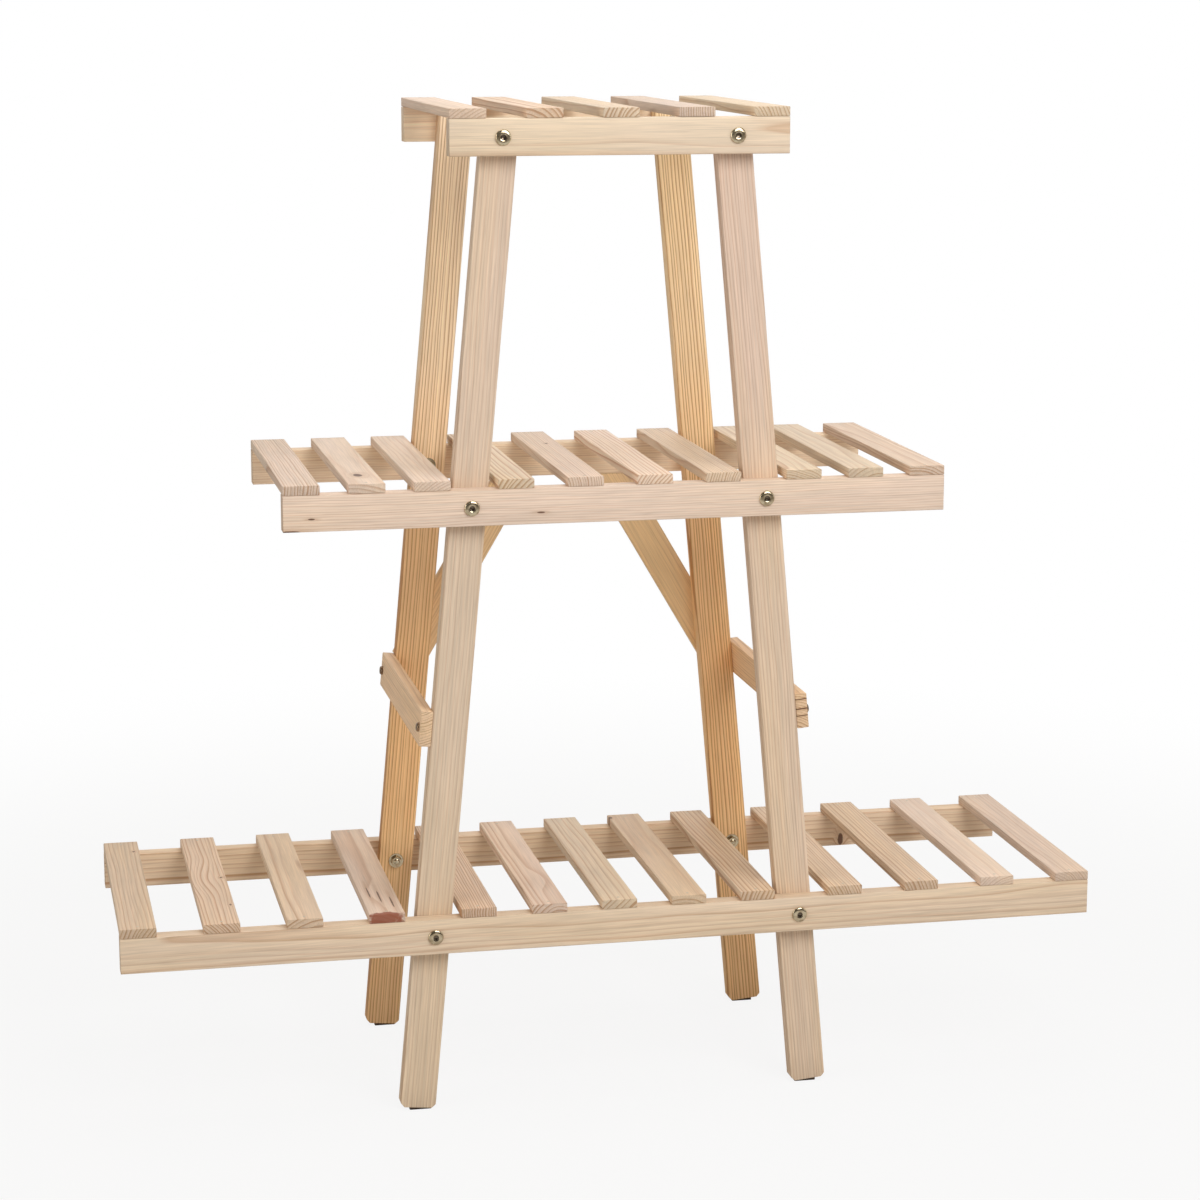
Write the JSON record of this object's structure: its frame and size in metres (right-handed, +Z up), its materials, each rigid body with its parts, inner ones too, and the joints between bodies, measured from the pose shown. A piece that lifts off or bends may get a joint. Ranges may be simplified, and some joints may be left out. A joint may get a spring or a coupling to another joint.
{
  "type": "plant ladder stand",
  "caption": "Three-tier ladder stand in planed pine for pots: slatted shelves that grow shorter upwards on leaning legs, bolted together, with side and diagonal braces.",
  "frame": {"origin": "on the floor, below the middle of the stand", "axes": "+X along the shelves towards the right-hand end, +Y from the front to the back, +Z up"},
  "size_m": [1, 0.3202, 1.005],
  "materials": {
    "pale_pine": "planed and unvarnished",
    "warm_pine": "planed and unvarnished",
    "yellow_zinc": "yellow zinc plate",
    "dark_steel": "browned",
    "foot_pad": "matt"
  },
  "bodies": {
    "root": {"front_left_leg": "pale_pine", "front_right_leg": "pale_pine", "rear_left_leg": "warm_pine", "rear_right_leg": "warm_pine", "bottom_front_rail": "pale_pine", "bottom_rear_rail": "pale_pine", "middle_front_rail": "pale_pine", "middle_rear_rail": "pale_pine", "top_front_rail": "pale_pine", "top_rear_rail": "pale_pine", "bottom_slat_1": "pale_pine", "bottom_slat_2": "pale_pine", "bottom_slat_3": "pale_pine", "bottom_slat_4": "pale_pine", "bottom_slat_5": "pale_pine", "bottom_slat_6": "pale_pine", "bottom_slat_7": "pale_pine", "bottom_slat_8": "pale_pine", "bottom_slat_9": "pale_pine", "bottom_slat_10": "pale_pine", "bottom_slat_11": "pale_pine", "bottom_slat_12": "pale_pine", "bottom_slat_13": "pale_pine", "middle_slat_1": "pale_pine", "middle_slat_2": "pale_pine", "middle_slat_3": "pale_pine", "middle_slat_4": "pale_pine", "middle_slat_5": "pale_pine", "middle_slat_6": "pale_pine", "middle_slat_7": "pale_pine", "middle_slat_8": "pale_pine", "middle_slat_9": "pale_pine", "middle_slat_10": "pale_pine", "top_slat_1": "pale_pine", "top_slat_2": "pale_pine", "top_slat_3": "pale_pine", "top_slat_4": "pale_pine", "top_slat_5": "pale_pine", "left_side_brace": "warm_pine", "right_side_brace": "warm_pine", "left_diagonal_brace": "warm_pine", "right_diagonal_brace": "warm_pine", "frame_bolts": "yellow_zinc", "bolt_washers": "yellow_zinc", "hex_nuts": "yellow_zinc", "side_brace_screws": "dark_steel", "diagonal_foot_screws": "dark_steel", "diagonal_rail_screws": "dark_steel", "slat_pins": "dark_steel", "foot_pads": "foot_pad"}
  },
  "joints": []
}
